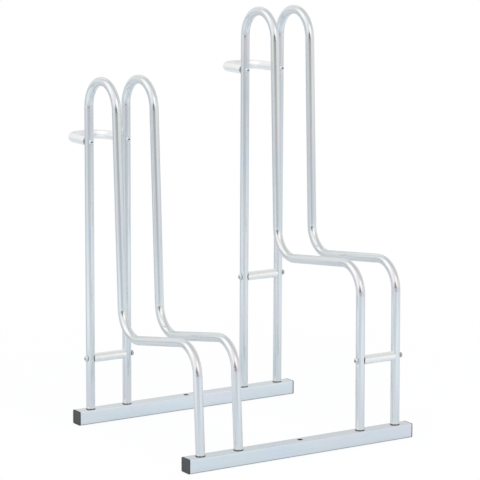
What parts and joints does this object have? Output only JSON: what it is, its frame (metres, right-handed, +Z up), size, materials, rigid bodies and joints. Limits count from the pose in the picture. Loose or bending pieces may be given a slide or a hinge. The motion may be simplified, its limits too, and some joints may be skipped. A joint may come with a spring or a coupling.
{
  "type": "floor bike rack",
  "caption": "Floor rack of bent tube hoops on square base bars, holding bicycle wheels in a low and a high place, with loops behind the hoops and floor anchor bores.",
  "frame": {"origin": "on the floor, midway between the two anchor bores", "axes": "+X along the base bars from the low place to the high place, +Y to the back of the rack, +Z up"},
  "size_m": [0.545, 0.5729, 0.8729],
  "materials": {
    "zinc_bar": "bright zinc plating, soft sheen",
    "zinc_tube": "bright zinc plating, soft lengthwise sheen",
    "bright_zinc": "bright zinc plating",
    "black_plastic": "matt, lightly grained"
  },
  "bodies": {
    "root": {"rear_base_bar": "zinc_bar", "front_base_bar": "zinc_bar", "rear_left_cap": "black_plastic", "rear_right_cap": "black_plastic", "front_left_cap": "black_plastic", "front_right_cap": "black_plastic", "low_left_hoop": "zinc_tube", "low_right_hoop": "zinc_tube", "high_left_hoop": "zinc_tube", "high_right_hoop": "zinc_tube", "low_rear_spacer": "zinc_tube", "high_rear_spacer": "zinc_tube", "high_front_spacer": "zinc_tube", "low_rear_bolt": "bright_zinc", "high_rear_bolt": "bright_zinc", "high_front_bolt": "bright_zinc", "low_rear_nut": "bright_zinc", "high_rear_nut": "bright_zinc", "high_front_nut": "bright_zinc", "low_rear_loop": "bright_zinc", "high_rear_loop": "bright_zinc", "low_loop_screws": "bright_zinc", "high_loop_screws": "bright_zinc", "low_loop_plugs": "zinc_tube", "high_loop_plugs": "zinc_tube", "rear_foot_plugs": "zinc_tube", "front_foot_plugs": "zinc_tube", "rear_foot_screws": "bright_zinc", "front_foot_screws": "bright_zinc"}
  },
  "joints": []
}
